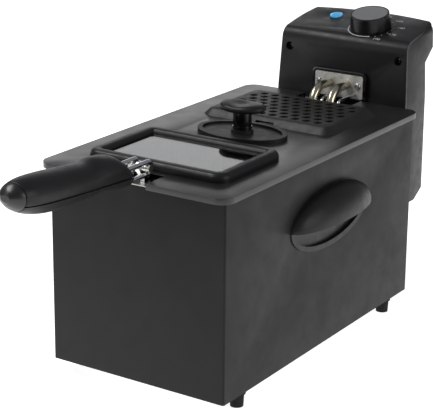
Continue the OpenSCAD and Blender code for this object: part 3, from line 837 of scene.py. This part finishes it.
def dial_number(k, number, middle, right, up, outward, radius):
    angle = math.radians(FIRST_TICK + 2 * TICK_STEP * k)
    place = middle + (right * math.cos(angle) + up * math.sin(angle)) * (radius + NUMBER_FROM_ARC)
    text = bpy.data.curves.new("dial_number", "FONT")
    text.body = number
    text.size = NUMBER_SIZE
    text.extrude = 0.1 * MM
    text.align_x = "CENTER"
    text.align_y = "CENTER"
    text.resolution_u = 3
    text.materials.append(MATERIALS["dial_print"])
    made = bpy.data.objects.new("dial_number_" + number, text)
    bpy.context.scene.collection.objects.link(made)
    rows = [[right[i], up[i], outward[i], place[i]] for i in range(3)]
    made.matrix_world = Matrix(rows + [[0, 0, 0, 1]])
    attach(made, "control_unit")


def make_dial():
    axes = panel_axes()
    low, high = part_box("dial_ring")
    radius = (high.x - low.x) / 2 - ARC_FROM_RIM
    parts = [dial_arc(*axes, radius), dial_dot(*axes, radius)]
    parts += [dial_tick(k, *axes, radius) for k in range(TICKS)]
    piece("dial_scale", joined(parts), "dial_print", "control_unit", ["dial_ring"])
    for k, number in enumerate(NUMBERS):
        dial_number(k, number, *axes, radius)


# ---- basket ------------------------------------------------------------------

MESH_PITCH = 8 * MM
MESH_WIRE = 0.5 * MM
CRIMP = 0.42 * MM
BASKET_CORNER = 12 * MM


def basket_outline(low, high, corner, step):
    """Points round a rounded rectangle at about this step, and their outward directions."""
    outline = []
    x_mid, y_mid = (low.x + high.x) / 2, (low.y + high.y) / 2
    half_x, half_y = (high.x - low.x) / 2, (high.y - low.y) / 2
    for quarter in range(4):
        first = math.pi / 2 * quarter
        normal = Vector((round(math.cos(first)), round(math.sin(first)), 0))
        along = Vector((-normal.y, normal.x, 0))
        reach, half = (half_x, half_y) if quarter % 2 == 0 else (half_y, half_x)
        middle = Vector((x_mid, y_mid, 0)) + normal * reach
        length = 2 * (half - corner)
        count = round(length / step)
        for i in range(count):
            outline.append((middle + along * (length * i / count - length / 2), normal))
        centre = middle + along * (length / 2) - normal * corner
        count = max(2, round(corner * math.pi / 2 / step))
        for i in range(count):
            angle = first + math.pi / 2 * i / count
            spoke = Vector((math.cos(angle), math.sin(angle), 0))
            outline.append((centre + spoke * corner, spoke))
    return outline


def mesh_hoops(outline, low, high, hoops):
    """Crimped wires that run round the basket's walls."""
    parts = []
    for h in range(hoops):
        z = low.z + (high.z - low.z - MESH_WIRE) * (h + 0.5) / hoops
        parts.append(wire([
            p + n * CRIMP * math.sin(math.pi * (i + 0.5) / 2 + math.pi * h) + Vector((0, 0, z))
            for i, (p, n) in enumerate(outline)
        ], MESH_WIRE, closed=True))
    return parts


def mesh_uprights(outline, low, high, hoops):
    """Crimped wires that run up the basket's walls."""
    parts = []
    for i in range(0, len(outline), 2):
        place, normal = outline[i]
        column = []
        for h in range(2 * hoops + 1):
            z = low.z + (high.z - low.z - MESH_WIRE) * h / (2 * hoops)
            swing = math.sin(math.pi * h / 2 + math.pi * i / 2) * CRIMP
            column.append(place + normal * swing + Vector((0, 0, z)))
        parts.append(wire(column, MESH_WIRE))
    return parts


def mesh_floor(low, high, corner, step, across):
    """Crimped wires of the basket's floor in one direction, cut short at its round corners."""
    parts = []
    a0, a1 = (low.x, high.x) if across else (low.y, high.y)
    b0, b1 = (low.y, high.y) if across else (low.x, high.x)
    lines = round((b1 - b0) / MESH_PITCH)
    for line in range(1, lines):
        b = b0 + (b1 - b0) * line / lines
        near = min(b - b0, b1 - b)
        trim = 0
        if near < corner:
            trim = corner - math.sqrt(corner ** 2 - (corner - near) ** 2)
        length = a1 - a0 - 2 * trim
        count = round(length / step)
        path = []
        for i in range(count + 1):
            a = a0 + trim + length * i / count
            z = low.z + math.sin(math.pi * i / 2 + math.pi * (line + across)) * CRIMP
            path.append(Vector((a, b, z) if across else (b, a, z)))
        parts.append(wire(path, MESH_WIRE))
    return parts


def make_basket():
    low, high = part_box("basket_mesh")
    inset = MESH_WIRE + CRIMP
    low = low + Vector((inset, inset, inset))
    high = high - Vector((inset, inset, 0))
    corner = BASKET_CORNER - inset
    step = MESH_PITCH / 2
    outline = basket_outline(low, high, corner, step)
    hoops = round((high.z - low.z) / MESH_PITCH)
    parts = mesh_hoops(outline, low, high, hoops) + mesh_uprights(outline, low, high, hoops)
    for across in (False, True):
        parts += mesh_floor(low, high, corner, step, across)
    piece("basket_wire_mesh", joined(parts), "chrome", "basket", ["basket_mesh"])


# ---- CAD nodes that get rounder ----------------------------------------------

# How much these nodes swell along their normals
THICKENED = {"heating_element": 0.5 * MM}

# Radius of the moulded or folded edges of the nodes that show
ROUNDED = {
    "front_shell": 2.2 * MM, "rear_cover": 1.2 * MM, "housing": 0.5 * MM, "lid_panel": 0.7 * MM,
    "knob": 1.2 * MM, "filter_cover": 0.5 * MM, "element_block": 0.8 * MM,
}


# ---- light and floor ---------------------------------------------------------

def soft_box(name, place, target, width, height, power):
    data = bpy.data.lights.new(name, "AREA")
    data.shape = "RECTANGLE"
    data.size = width
    data.size_y = height
    data.energy = power
    light = bpy.data.objects.new(name, data)
    bpy.context.scene.collection.objects.link(light)
    light.location = place
    light.rotation_mode = "QUATERNION"
    light.rotation_quaternion = (Vector(target) - Vector(place)).to_track_quat("-Z", "Y")


def make_world():
    world = bpy.data.worlds.new("studio")
    bpy.context.scene.world = world
    world.use_nodes = True
    tree = world.node_tree
    light = tree.nodes["Background"]
    light.inputs["Color"].default_value = (0.93, 0.95, 1, 1)
    light.inputs["Strength"].default_value = 0.2
    seen = tree.nodes.new("ShaderNodeBackground")
    seen.inputs["Color"].default_value = (1, 1, 1, 1)
    seen.inputs["Strength"].default_value = 1.0
    ray = tree.nodes.new("ShaderNodeLightPath")
    choice = tree.nodes.new("ShaderNodeMixShader")
    tree.links.new(ray.outputs["Is Camera Ray"], choice.inputs[0])
    tree.links.new(light.outputs[0], choice.inputs[1])
    tree.links.new(seen.outputs[0], choice.inputs[2])
    tree.links.new(choice.outputs[0], tree.nodes["World Output"].inputs["Surface"])


def make_floor():
    half = 3.0
    mesh = bpy.data.meshes.new("floor")
    corners = [(-half, -half, 0), (half, -half, 0), (half, half, 0), (-half, half, 0)]
    mesh.from_pydata(corners, [], [(0, 1, 2, 3)])
    floor = bpy.data.objects.new("floor", mesh)
    bpy.context.scene.collection.objects.link(floor)
    s = Shader("floor_paper", (0.9, 0.9, 0.9), 0.9, Specular_IOR_Level=0.1)
    s.set(Emission_Color=(1, 1, 1, 1), Emission_Strength=0.85)
    mesh.materials.append(s.material)


def make_lights():
    centre = (0, 0, 0.15)
    soft_box("lid_glow", (-1.7, 2.3, 0.95), (0, -0.1, 0.2), 1.7, 0.8, 4.8)
    soft_box("fill_front", (-1.1, -2.2, 0.7), centre, 1.2, 0.9, 4)
    soft_box("side_right", (2.1, 0.3, 0.9), centre, 1.2, 1.2, 12)
    soft_box("top", (-1.0, -0.55, 1.9), centre, 1.5, 0.6, 27)


make_camera()
dress_cad()
make_grip()
make_knob_cap()
make_screws()
make_dial()
make_basket()
for thin, growth in THICKENED.items():
    swell(thin, growth)
for rounded, radius in ROUNDED.items():
    soften(rounded, radius)
make_world()
make_floor()
make_lights()
bpy.context.scene.view_settings.view_transform = "Standard"
